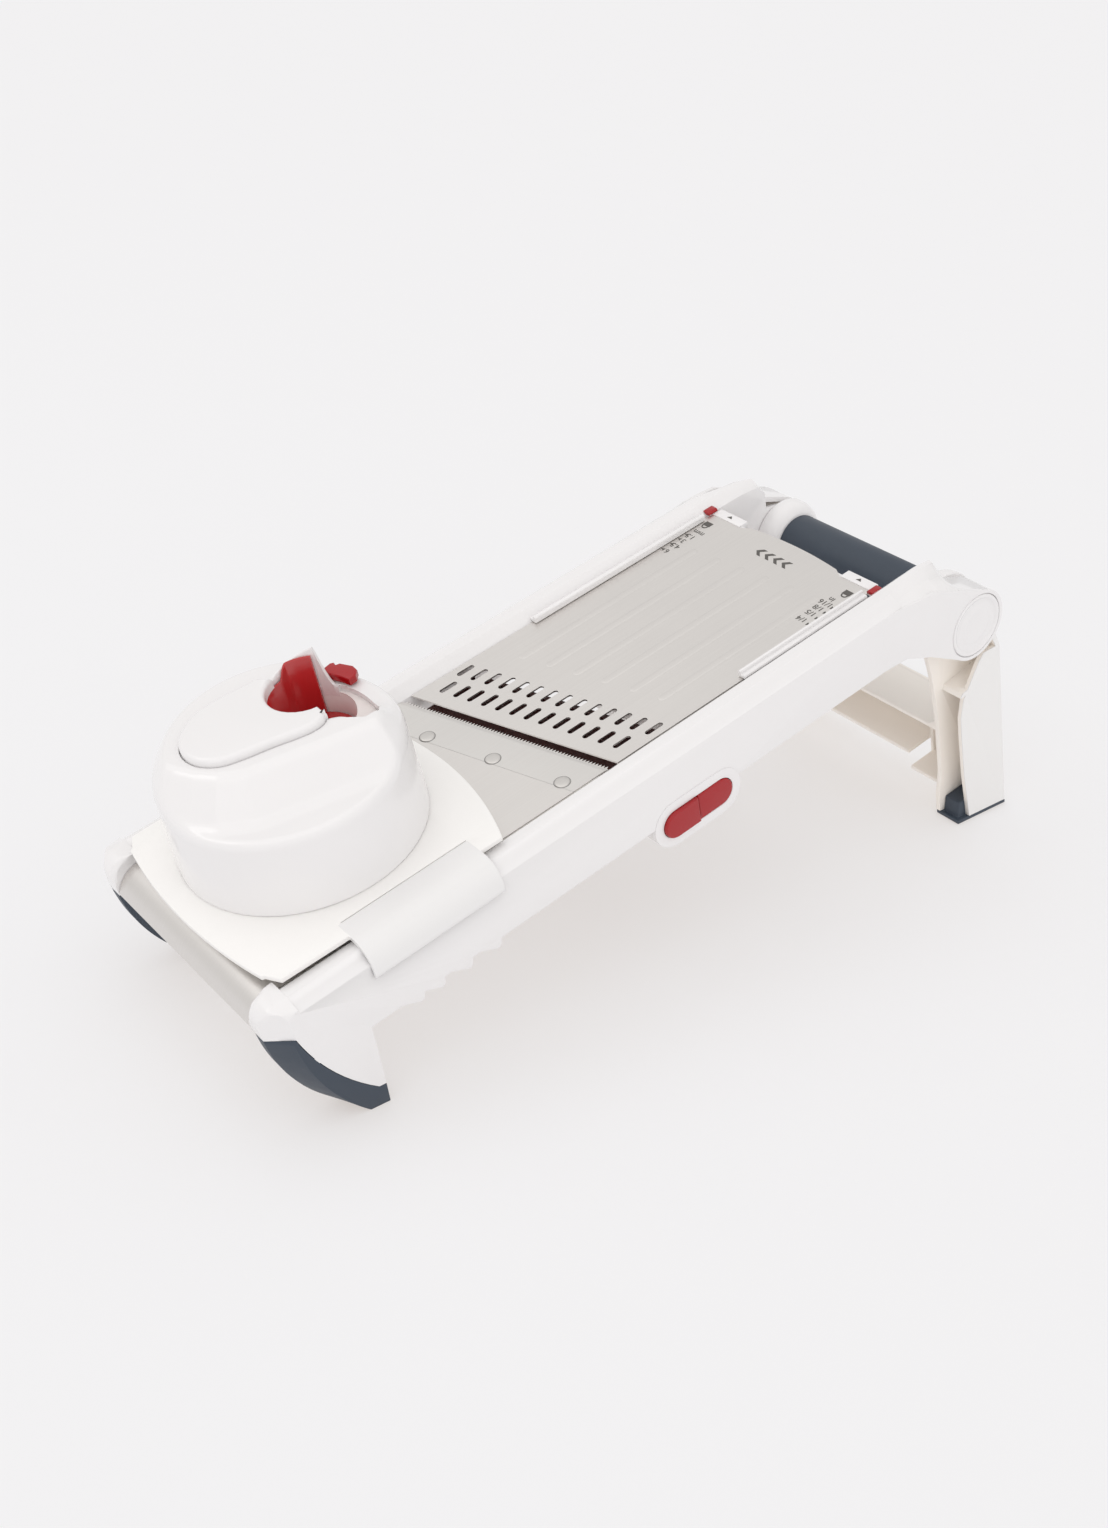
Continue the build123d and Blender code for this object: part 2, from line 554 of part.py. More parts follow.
def holder_place(shape):
    return Pos(HOLDER_X, HOLDER_Y, 0) * shape


def upright_block(points, z0, z1):
    return extrude(Pos(0, 0, z0) * make_face(Polyline(*points, close=True)), z1 - z0)


def scaled(points, factor):
    return [(x * factor, y * factor) for x, y in points]


def ridge_solid(factor, z0, z1):
    foot = Pos(0, 0, z0) * make_face(Polyline(*scaled(RIDGE_FOOT, factor), close=True))
    top = Pos(0, 0, z1) * make_face(Polyline(*scaled(RIDGE_TOP, factor), close=True))
    return loft([foot, top], ruled=True)


def well(z0, z1):
    """Space in which the plunger rises: under its lid, and round the finger notch."""
    lid = upright_block(scaled(CAP_PLAN, 1.03), z0, z1)
    return lid + upright(NOTCH_X, NOTCH_Y, NOTCH_R + 1.8, z0, z1)


def holder_drum():
    """Round hand shield with an open bottom, a crescent shelf and an S-shaped ridge for the fingers."""
    with BuildLine() as line:
        Polyline((0, SHELF), (46.5, SHELF))
        ThreePointArc((46.5, SHELF), (50.2, SHELF - 1.5), (DRUM_TOP_R, SHELF - 5.0))
        Polyline((DRUM_TOP_R, SHELF - 5.0), (DRUM_R, BASE_TOP + 0.02),
                 (DRUM_R - DRUM_WALL, BASE_TOP + 0.02),
                 (DRUM_TOP_R - DRUM_WALL, SHELF - 5.4), (46.5, SHELF - 2.6), (0, SHELF - 2.6), (0,
                                                                                                SHELF))
    shell = revolve(Plane.XZ * make_face(line.line), Axis.Z)
    shell += ridge_solid(1.0, SHELF - 1.0, RIDGE)
    shell -= ridge_solid(0.93, SHELF - 3.0, RIDGE - 2.6)
    shell -= well(SHELF - 6.0, FIN_TOP)
    shell -= upright(0, PRONG_Y, PRONG_R + 0.8, 0, RIDGE - 2.6)
    shell -= upright_block(SCOOP, SHELF + 0.02, FIN_TOP)
    return holder_place(shell - fin_solid())


def fin_solid():
    """Thin pointed wall behind the finger notch."""
    fin = upright(NOTCH_X, NOTCH_Y, NOTCH_R + 3.6, SHELF - 1.0, FIN_TOP)
    fin -= upright(NOTCH_X, NOTCH_Y, NOTCH_R + 1.8, 0, 80)
    fin &= upright_block([(NOTCH_X, NOTCH_Y), (60.0, NOTCH_Y + 14.0), (40.0, 60.0),
                          (NOTCH_X - 10.0, 60.0)],
                         0, 80)
    lean = [(0.0, RIDGE - 1.0), (NOTCH_X + 2.0, RIDGE + 2.0), (NOTCH_X + 13.4, FIN_TOP),
            (NOTCH_X + 18.0, SHELF),
            (60.0, SHELF), (60.0, 90.0), (0.0, 90.0)]
    return fin - extrude(Plane.XZ.offset(-60.0) * make_face(Polyline(*lean, close=True)), 80)


def plunger_body():
    """Red stem under the lid, with the round cup that lines the finger notch."""
    stem = upright_block(scaled(CAP_PLAN, 0.88), PRONG_PLATE_TOP + 0.02, CUP_TOP)
    cup = upright(NOTCH_X, NOTCH_Y, NOTCH_R + 1.4, PRONG_PLATE_TOP + 0.02, CUP_TOP)
    cup -= upright(NOTCH_X, NOTCH_Y, NOTCH_R, SHELF + 0.6, 80)
    open_side = [(NOTCH_X, NOTCH_Y), (NOTCH_X - 2.0, -20.0), (60.0, -20.0), (60.0, NOTCH_Y + 16.0)]
    cup -= upright_block(open_side, SHELF + 0.6, 80)
    stem -= upright(NOTCH_X, NOTCH_Y, NOTCH_R, SHELF + 0.6, 80)
    return holder_place(stem + cup)


def plunger_cap():
    cap = upright_block(CAP_PLAN, CUP_TOP + 0.02, CAP_TOP)
    cap -= upright(NOTCH_X, NOTCH_Y, NOTCH_R, 50, 80)
    return holder_place(cap)


def prong_plate():
    return holder_place(upright(0, PRONG_Y, PRONG_R, PRONG_PLATE_TOP - 4.0, PRONG_PLATE_TOP))


def prongs():
    pins = []
    for radius, count in ((0, 1), (10.0, 6), (19.5, 12)):
        for i in range(count):
            angle = 2 * math.pi * i / count
            x = HOLDER_X + radius * math.cos(angle)
            y = HOLDER_Y + PRONG_Y + radius * math.sin(angle)
            pins.append(Pos(x, y, PRONG_PLATE_TOP - 4.02 - 4.5) * Cone(0.15, 0.9, 9.0))
    return Compound(children=pins)


PARTS = {
    "rail_near": rail(with_buttons=True),
    "rail_far": far_side(rail(with_buttons=False)),
    "front_foot_near": front_foot_near(),
    "landing_bed": landing_bed(),
    "landing_plate": landing_plate(),
    "blade": blade(),
    "blade_rivets": blade_rivets(),
    "cross_tie_mid": cross_tie(TIE_X[0] - 5, TIE_X[0] + 5),
    "cross_tie_rear": cross_tie(TIE_X[1] - 7, TIE_X[1] + 7),
    "tie_screws": tie_screws(),
    "runway_plate": runway_plate(),
    "runway_carrier": runway_carrier(),
    "guide_strip_near": guide_strip_near(),
    "guide_strip_far": far_side(guide_strip_near(39.0, 145.0)),
    "ramp_rail_near": ramp_rail_near(),
    "index_pointer_near": index_pointer_near(),
    "comb_wide": comb(LOWER_ROW, LOWER_COUNT, -17.0, 3.0),
    "comb_fine": comb(UPPER_ROW, UPPER_COUNT, 3.6, 18.2),
    "button_front": button(BUTTON_START, 23.5, 1.9),
    "button_rear": button(23.9, BUTTON_END, 0.9),
    "grip_core": grip_core(),
    "grip_sleeve": grip_sleeve(),
    "grip_collar_near": grip_collar_near(),
    "hinge_pin_near": hinge_pin_near(),
    "hinge_cap_near": hinge_cap_near(),
    "stand_leg_near": stand_leg_near(),
    "stand_cross_member": stand_cross_member(),
    "rear_foot_near": rear_foot_near(),
    "holder_base": holder_base(),
    "holder_wing_near": holder_wing_near(),
    "holder_drum": holder_drum(),
    "holder_fin": holder_place(fin_solid()),
    "plunger_body": plunger_body(),
    "plunger_cap": plunger_cap(),
    "prong_plate": prong_plate(),
    "prongs": prongs(),
}
for name in list(PARTS):
    far_name = name.replace("_near", "_far")
    if far_name not in PARTS:
        PARTS[far_name] = far_side(PARTS[name])

os.makedirs("parts", exist_ok=True)
box = Compound(children=[place(shape) for shape in PARTS.values()]).bounding_box()
print("size", box.size, "centre", box.center(), "low", box.min)
for name, shape in PARTS.items():
    export_step(place(shape), f"parts/{name}.step")
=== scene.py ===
import json
import math

import bmesh
import bpy
from mathutils import Matrix, Vector


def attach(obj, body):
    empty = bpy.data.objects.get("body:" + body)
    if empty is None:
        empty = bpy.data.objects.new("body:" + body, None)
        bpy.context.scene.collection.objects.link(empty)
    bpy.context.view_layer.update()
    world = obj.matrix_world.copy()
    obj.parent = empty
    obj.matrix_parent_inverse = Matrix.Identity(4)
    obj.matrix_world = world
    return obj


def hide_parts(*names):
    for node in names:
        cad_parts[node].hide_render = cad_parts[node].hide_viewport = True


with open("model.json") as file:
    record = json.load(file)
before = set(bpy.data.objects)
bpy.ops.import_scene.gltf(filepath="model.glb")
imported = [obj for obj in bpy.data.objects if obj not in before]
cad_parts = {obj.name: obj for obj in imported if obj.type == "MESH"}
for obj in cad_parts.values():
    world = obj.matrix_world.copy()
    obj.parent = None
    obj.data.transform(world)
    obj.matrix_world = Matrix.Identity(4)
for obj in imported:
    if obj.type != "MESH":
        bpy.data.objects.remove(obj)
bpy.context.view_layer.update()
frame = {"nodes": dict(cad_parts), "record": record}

DECK_SLOPE = math.radians(13.9)
ORIGIN_X = -0.0348
SOLE_DEPTH = 0.1039

# the deck's own millimetres: u runs up the deck, v across it, w square to the plates
EDGE_LEAN = 0.285                 # the blade's edge runs back by this much for each mm across
RIVET_V = (23.9, -10.6, -45.4)
RIVET_U = -36.6                   # where the row of rivets crosses the deck's middle line
PLATE_HALF = 53.5
BLADE_EDGE_U = -20.75
HINGE_U = 195.9
HINGE_W = -35.4
STAND_BOUNCE_LIMIT = 0.0708            # metres from the middle plane, past which the legs show their white outside; nearer in, the channels get a painted warm bounce light
SIDES = ((-1, "near"), (1, "far"))


# ---------- shader node groups ----------
def new_group(name, inputs, outputs):
    group = bpy.data.node_groups.new(name, "ShaderNodeTree")
    for label, kind, value in inputs:
        socket = group.interface.new_socket(label, in_out="INPUT", socket_type=kind)
        socket.default_value = value
    for label, kind in outputs:
        group.interface.new_socket(label, in_out="OUTPUT", socket_type=kind)
    return group, group.nodes.new("NodeGroupInput"), group.nodes.new("NodeGroupOutput")


def noise(nodes, scale, detail=2.0, roughness=0.5):
    node = nodes.new("ShaderNodeTexNoise")
    node.inputs["Scale"].default_value = scale
    node.inputs["Detail"].default_value = detail
    node.inputs["Roughness"].default_value = roughness
    return node


def math_node(nodes, operation, value=0.5):
    node = nodes.new("ShaderNodeMath")
    node.operation = operation
    node.inputs[1].default_value = value
    return node


def moulded_group():
    """Moulded plastic: cloudy colour, faint orange peel, and rubbed, slightly duller patches."""
    group, gin, gout = new_group(
        "moulded_surface",
        [("Colour", "NodeSocketColor", (1, 1, 1, 1)),
         ("Shade", "NodeSocketColor", (0.8, 0.8, 0.8, 1)),
         ("Roughness", "NodeSocketFloat", 0.2), ("Rub", "NodeSocketFloat", 0.1),
         ("Peel", "NodeSocketFloat", 0.02)],
        [("Colour", "NodeSocketColor"), ("Roughness", "NodeSocketFloat"), ("Normal", "NodeSocketVector")])
    nodes, links = group.nodes, group.links
    place = nodes.new("ShaderNodeTexCoord")
    cloud = noise(nodes, 22.0, 3.0)
    rub = noise(nodes, 160.0, 5.0, 0.65)
    peel = noise(nodes, 1500.0, 2.0)
    for item in (cloud, rub, peel):
        links.new(place.outputs["Object"], item.inputs["Vector"])
    mix = nodes.new("ShaderNodeMix")
    mix.data_type = "RGBA"
    links.new(cloud.outputs["Fac"], mix.inputs["Factor"])
    links.new(gin.outputs["Colour"], mix.inputs["A"])
    links.new(gin.outputs["Shade"], mix.inputs["B"])
    links.new(mix.outputs["Result"], gout.inputs["Colour"])
    wear = nodes.new("ShaderNodeMath")
    wear.operation = "MULTIPLY_ADD"
    links.new(rub.outputs["Fac"], wear.inputs[0])
    links.new(gin.outputs["Rub"], wear.inputs[1])
    links.new(gin.outputs["Roughness"], wear.inputs[2])
    links.new(wear.outputs["Value"], gout.inputs["Roughness"])
    bump = nodes.new("ShaderNodeBump")
    bump.inputs["Distance"].default_value = 0.0002
    links.new(gin.outputs["Peel"], bump.inputs["Strength"])
    links.new(peel.outputs["Fac"], bump.inputs["Height"])
    links.new(bump.outputs["Normal"], gout.inputs["Normal"])
    return group


def brushed_group():
    """Stainless sheet: fine drawn lines along the deck, clouded by handling."""
    group, gin, gout = new_group(
        "brushed_surface",
        [("Colour", "NodeSocketColor", (0.6, 0.6, 0.6, 1)),
         ("Streak", "NodeSocketColor", (0.5, 0.5, 0.5, 1)),
         ("Roughness", "NodeSocketFloat", 0.3), ("Grain", "NodeSocketFloat", 0.2)],
        [("Colour", "NodeSocketColor"), ("Roughness", "NodeSocketFloat"), ("Normal", "NodeSocketVector")])
    nodes, links = group.nodes, group.links
    place = nodes.new("ShaderNodeTexCoord")
    lines = nodes.new("ShaderNodeMapping")
    lines.inputs["Scale"].default_value = (14.0, 1700.0, 14.0)
    links.new(place.outputs["Object"], lines.inputs["Vector"])
    grain = noise(nodes, 1.0, 3.0, 0.6)
    links.new(lines.outputs["Vector"], grain.inputs["Vector"])
    cloud = noise(nodes, 30.0, 2.0)
    links.new(place.outputs["Object"], cloud.inputs["Vector"])
    mix = nodes.new("ShaderNodeMix")
    mix.data_type = "RGBA"
    links.new(grain.outputs["Fac"], mix.inputs["Factor"])
    links.new(gin.outputs["Colour"], mix.inputs["A"])
    links.new(gin.outputs["Streak"], mix.inputs["B"])
    links.new(mix.outputs["Result"], gout.inputs["Colour"])
    rough = nodes.new("ShaderNodeMath")
    rough.operation = "MULTIPLY_ADD"
    links.new(cloud.outputs["Fac"], rough.inputs[0])
    rough.inputs[1].default_value = 0.12
    links.new(gin.outputs["Roughness"], rough.inputs[2])
    links.new(rough.outputs["Value"], gout.inputs["Roughness"])
    bump = nodes.new("ShaderNodeBump")
    bump.inputs["Distance"].default_value = 0.00004
    links.new(gin.outputs["Grain"], bump.inputs["Strength"])
    links.new(grain.outputs["Fac"], bump.inputs["Height"])
    links.new(bump.outputs["Normal"], gout.inputs["Normal"])
    return group


MOULDED = moulded_group()
BRUSHED = brushed_group()


def shaded_material(name, group, values, metallic=0.0, coat=0.0, specular=0.5):
    material = bpy.data.materials.new(name)
    material.use_nodes = True
    nodes, links = material.node_tree.nodes, material.node_tree.links
    shader = nodes["Principled BSDF"]
    shader.inputs["Metallic"].default_value = metallic
    shader.inputs["Coat Weight"].default_value = coat
    shader.inputs["Specular IOR Level"].default_value = specular
    surface = nodes.new("ShaderNodeGroup")
    surface.node_tree = group
    for label, value in values.items():
        surface.inputs[label].default_value = value
    links.new(surface.outputs["Colour"], shader.inputs["Base Color"])
    links.new(surface.outputs["Roughness"], shader.inputs["Roughness"])
    links.new(surface.outputs["Normal"], shader.inputs["Normal"])
    return material


def plastic(name, colour, shade, roughness, rub=0.08, peel=0.03, coat=0.0):
    values = {"Colour": (*colour, 1), "Shade": (*shade, 1), "Roughness": roughness,
              "Rub": rub, "Peel": peel}
    return shaded_material(name, MOULDED, values, coat=coat)


def metal(name, colour, streak, roughness, grain):
    values = {"Colour": (*colour, 1), "Streak": (*streak, 1), "Roughness": roughness, "Grain": grain}
    return shaded_material(name, BRUSHED, values, metallic=1.0)


FINISHES = {
    "white_abs": plastic("glossy_white_abs", (0.87, 0.855, 0.855), (0.845, 0.83, 0.83), 0.12,
                         rub=0.06, peel=0.02, coat=0.3),
    "cream_abs": plastic("satin_cream_abs", (0.94, 0.925, 0.905), (0.92, 0.905, 0.885), 0.34, 0.1, 0.05),
    "steel": metal("satin_stainless", (0.78, 0.755, 0.73), (0.72, 0.695, 0.67), 0.32, 0.25),
    "blade_steel": metal("ground_stainless", (0.78, 0.76, 0.735), (0.72, 0.70, 0.675), 0.28, 0.2),
    "red_plastic": plastic("glossy_red", (0.40, 0.005, 0.009), (0.35, 0.004, 0.008), 0.2, 0.08, 0.03),
    "slate_rubber": plastic("slate_rubber", (0.041, 0.056, 0.080), (0.036, 0.050, 0.071), 0.44,
                            rub=0.14, peel=0.12),
    "pin_steel": metal("bright_pin_steel", (0.72, 0.71, 0.70), (0.66, 0.65, 0.64), 0.18, 0.1),
}
# the holder's white, darkened and warmed as painted shade for the scoop floor and notch liner inside the drum
WHITE_PAINTED_RECESS_SHADE = plastic("white_with_painted_recess_shade", (0.84, 0.79, 0.77), (0.82, 0.77, 0.75), 0.3, 0.1, 0.04)
# the red combs, darkened as painted shade for where they sit under the deck
RED_PAINTED_SHADE = plastic("red_comb_painted_shade", (0.075, 0.016, 0.013), (0.06, 0.012, 0.01), 0.4, 0.1, 0.05)
FLAP_WHITE = plastic("flap_white", (0.85, 0.84, 0.835), (0.83, 0.82, 0.815), 0.26, 0.08, 0.03)
# a lighter copy of the red plastic: the gloss coat is real, the lightening is a painted reflection of the
# surrounding whites
CUP_RED_PAINTED_SHEEN = plastic("red_with_painted_sheen", (0.50, 0.022, 0.024), (0.46, 0.018, 0.02), 0.16, 0.06, 0.02, 0.5)
INK = plastic("grey_print", (0.11, 0.10, 0.09), (0.09, 0.085, 0.08), 0.5, 0.1, 0.02)
# dark ring painted as the shade in a sunk groove round each rivet
RIVET_GROOVE_SHADE = plastic("shadowed_steel_ring", (0.30, 0.29, 0.28), (0.28, 0.27, 0.26), 0.5, 0.1, 0.02)
RIVET_STEEL = metal("rivet_steel", (0.70, 0.68, 0.655), (0.62, 0.60, 0.575), 0.34, 0.3)
for entry in frame["record"]["subparts"]:
    node = frame["nodes"][entry["node"]]
    node.data.materials.clear()
    node.data.materials.append(FINISHES[entry["material_slot"]])
# the combs take the painted shade of the deck above them
for name in ("comb_wide", "comb_fine"):
    frame["nodes"][name].data.materials[0] = RED_PAINTED_SHADE


def plastic_with_painted_bounce(name, outer, inner):
    """Moulded plastic, white on the stand's outer flanges; inside its channels a warm tint is painted in for
    light bounced through the thin plastic.
    """
    material = plastic(name, *outer)
    nodes, links = material.node_tree.nodes, material.node_tree.links
    shader = nodes["Principled BSDF"]
    second = nodes.new("ShaderNodeGroup")
    second.node_tree = MOULDED
    # second surface: the painted warm bounce light inside the channels
    colour, shade, roughness = inner
    second.inputs["Colour"].default_value = (*colour, 1)
    second.inputs["Shade"].default_value = (*shade, 1)
    second.inputs["Roughness"].default_value = roughness
    place = nodes.new("ShaderNodeTexCoord")
    split = nodes.new("ShaderNodeSeparateXYZ")
    links.new(place.outputs["Object"], split.inputs["Vector"])
    side = math_node(nodes, "ABSOLUTE")
    links.new(split.outputs["Y"], side.inputs[0])
    outside = math_node(nodes, "GREATER_THAN", STAND_BOUNCE_LIMIT)
    links.new(side.outputs["Value"], outside.inputs[0])
    mix = nodes.new("ShaderNodeMix")
    mix.data_type = "RGBA"
    first = [n for n in nodes if n.type == "GROUP" and n != second][0]
    links.new(outside.outputs["Value"], mix.inputs["Factor"])
    links.new(second.outputs["Colour"], mix.inputs["A"])
    links.new(first.outputs["Colour"], mix.inputs["B"])
    links.new(mix.outputs["Result"], shader.inputs["Base Color"])
    return material


# stand plastic: white outside, painted warm bounce light inside the channels
STAND_PAINTED_BOUNCE = plastic_with_painted_bounce("stand_plastic_painted_bounce", ((0.87, 0.86, 0.85), (0.85, 0.84, 0.83), 0.2),
                               ((0.98, 0.93, 0.87), (0.96, 0.905, 0.84), 0.3))
SLOT_OF = {entry["node"]: entry["material_slot"] for entry in frame["record"]["subparts"]}
BODY_OF = {}
for body, names in frame["record"]["behaviour"]["bodies"].items():
    for name in names:
        BODY_OF[name] = body


# ---------- shared shape tools ----------
def deck_point(u, v, w):
    """Row-frame place, in metres, of a point given in the deck's own millimetres."""
    x = u * math.cos(DECK_SLOPE) - w * math.sin(DECK_SLOPE)
    z = u * math.sin(DECK_SLOPE) + w * math.cos(DECK_SLOPE)
    return Vector((x / 1000 + ORIGIN_X, v / 1000, z / 1000 + SOLE_DEPTH))


def select_only(obj):
    bpy.ops.object.select_all(action="DESELECT")
    obj.select_set(True)
    bpy.context.view_layer.objects.active = obj


def apply_all(obj):
    select_only(obj)
    for modifier in list(obj.modifiers):
        bpy.ops.object.modifier_apply(modifier=modifier.name)


def smooth(obj, degrees=38):
    select_only(obj)
    bpy.ops.object.shade_smooth_by_angle(angle=math.radians(degrees))


def finish_piece(obj, body, material, stands_for=(), degrees=38):
    smooth(obj, degrees)
    obj.data.materials.clear()
    obj.data.materials.append(material)
    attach(obj, body)
    for name in stands_for:
        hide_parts(name)
    return obj


def bevel(obj, width, segments=3, degrees=30):
    modifier = obj.modifiers.new("bevel", "BEVEL")
    modifier.width = width / 1000
    modifier.segments = segments
    modifier.limit_method = "ANGLE"
    modifier.angle_limit = math.radians(degrees)
    modifier.use_clamp_overlap = True
    modifier.miter_outer = "MITER_ARC"


def round_nose(rail):
    """Rolls the rail's front end over, where it curls down to the foot."""
    limit = deck_point(-173.0, 0, 0).x
    shoe_top = 0.0525
    longest_edge = 0.0013
    smoothing_passes = 34
    mesh = bmesh.new()
    mesh.from_mesh(rail.data)

    def in_nose(vertex):
        return vertex.co.x < limit and vertex.co.z > shoe_top

    # an even mesh first, so that the smoothing rounds every edge alike
    for _ in range(6):
        faces = [f for f in mesh.faces if any(in_nose(v) for v in f.verts)]
        bmesh.ops.triangulate(mesh, faces=faces)
        edges = {e for f in mesh.faces if any(in_nose(v) for v in f.verts) for e in f.edges
                 if e.calc_length() > longest_edge}
        bmesh.ops.subdivide_edges(mesh, edges=list(edges), cuts=1)
    bmesh.ops.triangulate(mesh, faces=[f for f in mesh.faces if len(f.verts) > 4])
    ends = [v for v in mesh.verts if in_nose(v)]
    for _ in range(smoothing_passes):
        bmesh.ops.smooth_vert(mesh, verts=ends, factor=0.5,
                              use_axis_x=True, use_axis_y=True, use_axis_z=True)
    mesh.to_mesh(rail.data)
    mesh.free()


def soften(node_name, width, segments=3, degrees=30, material=None):
    """A finished copy of a CAD node with its edges rounded over."""
    node = frame["nodes"][node_name]
    piece = bpy.data.objects.new(node_name + "_moulded", node.data.copy())
    bpy.context.scene.collection.objects.link(piece)
    piece.data.transform(node.matrix_world)
    select_only(piece)
    bpy.ops.object.mode_set(mode="EDIT")
    bpy.ops.mesh.select_all(action="SELECT")
    bpy.ops.mesh.remove_doubles(threshold=0.000004)
    bpy.ops.mesh.dissolve_limited(angle_limit=math.radians(0.6))
    bpy.ops.mesh.normals_make_consistent(inside=False)
    bpy.ops.object.mode_set(mode="OBJECT")
    bevel(piece, width, segments, degrees)
    apply_all(piece)
    if node_name.startswith("rail"):
        round_nose(piece)
    slot = SLOT_OF[node_name]
    return finish_piece(piece, BODY_OF[node_name], material or FINISHES[slot], [node_name])


def mesh_object(name, vertices, faces):
    data = bpy.data.meshes.new(name)
    data.from_pydata([tuple(v) for v in vertices], [], faces)
    data.validate()
    obj = bpy.data.objects.new(name, data)
    bpy.context.scene.collection.objects.link(obj)
    select_only(obj)
    bpy.ops.object.mode_set(mode="EDIT")
    bpy.ops.mesh.select_all(action="SELECT")
    bpy.ops.mesh.normals_make_consistent(inside=False)
    bpy.ops.object.mode_set(mode="OBJECT")
    return obj


def ring_stack(name, rings, close_ends=True, place=deck_point):
    """A skin over rings of (u, v, w) points that all have the same count."""
    count = len(rings[0])
    vertices = [place(*point) for ring in rings for point in ring]
    faces = []
    for level in range(len(rings) - 1):
        for i in range(count):
            j = (i + 1) % count
            a = level * count
            b = a + count
            faces.append((a + i, a + j, b + j, b + i))
    if close_ends:
        faces.append(tuple(range(count)))
        faces.append(tuple(range(len(vertices) - count, len(vertices))))
    return mesh_object(name, vertices, faces)


def smooth_outline(points, per_side=8):
    """Closed Catmull-Rom curve through plan points."""
    outline = []
    count = len(points)
    for i in range(count):
        p0, p1, p2, p3 = (Vector(points[(i + k - 1) % count]) for k in range(4))
        for step in range(per_side):
            t = step / per_side
            outline.append(0.5 * (2 * p1 + (p2 - p0) * t + (2 * p0 - 5 * p1 + 4 * p2 - p3) * t * t
                                  + (3 * p1 - p0 - 3 * p2 + p3) * t ** 3))
    return outline


def inset(outline, distance):
    """Each point of a closed anticlockwise outline moved inwards along its normal."""
    moved = []
    count = len(outline)
    for i in range(count):
        along = outline[(i + 1) % count] - outline[i - 1]
        normal = Vector((-along.y, along.x)).normalized()
        moved.append(outline[i] + normal * distance)
    return moved


def anticlockwise(outline):
    area = sum(a.x * b.y - b.x * a.y for a, b in zip(outline, outline[1:] + outline[:1]))
    return outline if area >= 0 else outline[::-1]


def rounded_slab(name, outline, bottom, top, edge, place=deck_point, steps=5):
    """Upright slab over a plan outline whose top edge is rounded over."""
    rings = [[(p.x, p.y, bottom) for p in outline]]
    for step in range(steps + 1):
        turn = math.radians(90 * step / steps)
        ring = inset(outline, edge * (1 - math.cos(turn)))
        rings.append([(p.x, p.y, top - edge + edge * math.sin(turn)) for p in ring])
    return ring_stack(name, rings, place=place)


def cut(obj, tool):
    modifier = obj.modifiers.new("cut", "BOOLEAN")
    modifier.operation = "DIFFERENCE"
    modifier.solver = "MANIFOLD"
    modifier.object = tool
    apply_all(obj)
    bpy.data.objects.remove(tool)


# ---------- food holder ----------
HOLDER_U = -116.0
HOLDER_V = 8.2
NOTCH = Vector((22.0, 8.5))      # middle of the round finger notch, from the drum's own middle
NOTCH_R = 16.0
SHELF = 45.0                      # height of the crescent shelf beside the ridge
RIDGE = 60.0                      # height of the finger ridge
DRUM_RIM_R = 51.4
DRUM_EDGE = 3.0                   # radius that rolls the shelf over into the drum's wall
CAP_TOP = 63.4
PRONG_PLATE = Vector((0, 6))      # middle of the round plate that carries the prongs
PRONG_BORE_R = 24.6
PRONG_BORE_TOP = 56.4
TOOL_TOP = 90.0                   # cutting tools rise clear of the drum


def holder_point(x, y, w):
    return deck_point(HOLDER_U + x, HOLDER_V + y, w)


def circle_arc(centre, radius, start, end, steps):
    return [centre + radius * Vector((math.cos(math.radians(start + (end - start) * i / steps)),
                                      math.sin(math.radians(start + (end - start) * i / steps))))
            for i in range(steps + 1)]


def full_circle(centre, radius):
    return circle_arc(centre, radius, 0, 354, 59)


def soft_min(a, b, k):
    h = max(0.0, min(1.0, 0.5 + 0.5 * (b - a) / k))
    return b + (a - b) * h - k * h * (1 - h)


def soft_max(a, b, k):
    return -soft_min(-a, -b, k)


# the S-shaped top edge of the finger ridge, from the open side round to the drum's flank
S_CURVE = [Vector(p) for p in ((60.0, -44.0), (33.5, -31.0), (22.6, -28.2), (10.7, -25.2), (1.7, -22.4),
                               (-11.4, -18.8), (-22.5, -15.4), (-30.5, -9.0), (-36.0, -1.0), (-40.0, 8.0),
                               (-43.0, 20.0), (-45.0, 40.0))]


def s_distance(p):
    """Distance outside the S curve, positive towards the shelf."""
    best = None
    for a, b in zip(S_CURVE, S_CURVE[1:]):
        along = b - a
        t = max(0.0, min(1.0, (p - a).dot(along) / along.length_squared))
        gap = p - (a + along * t)
        side = along.x * (p.y - a.y) - along.y * (p.x - a.x)
        if best is None or gap.length < best[0]:
            best = (gap.length, side)
    return best[0] if best[1] > 0 else -best[0]


def drum_height(x, y):
    """Height of the drum's top surface."""
    r = math.hypot(x, y)
    ridge_face = RIDGE - 1.05 * s_distance(Vector((x, y)))
    flank = RIDGE - 1.45 * (r - 43.5)
    height = soft_min(soft_min(ridge_face, flank, 0.8), RIDGE, 3.0)
    height = soft_max(height, SHELF, 4.0)
    # the open side dips so that a fingertip can reach in
    angle = math.degrees(math.atan2(y, x))
    if r > 20 and -40 < angle < 46:
        reach = min(1.0, (angle + 40) / 34, (46 - angle) / 9)
        depth = 0.5 - 0.5 * math.cos(math.pi * reach)
        height = height * (1 - depth) + min(height, 49.0) * depth
    past = r - (DRUM_RIM_R - DRUM_EDGE)
    if past > 0:
        height -= DRUM_EDGE - math.sqrt(max(0.0, DRUM_EDGE ** 2 - past ** 2))
    return height


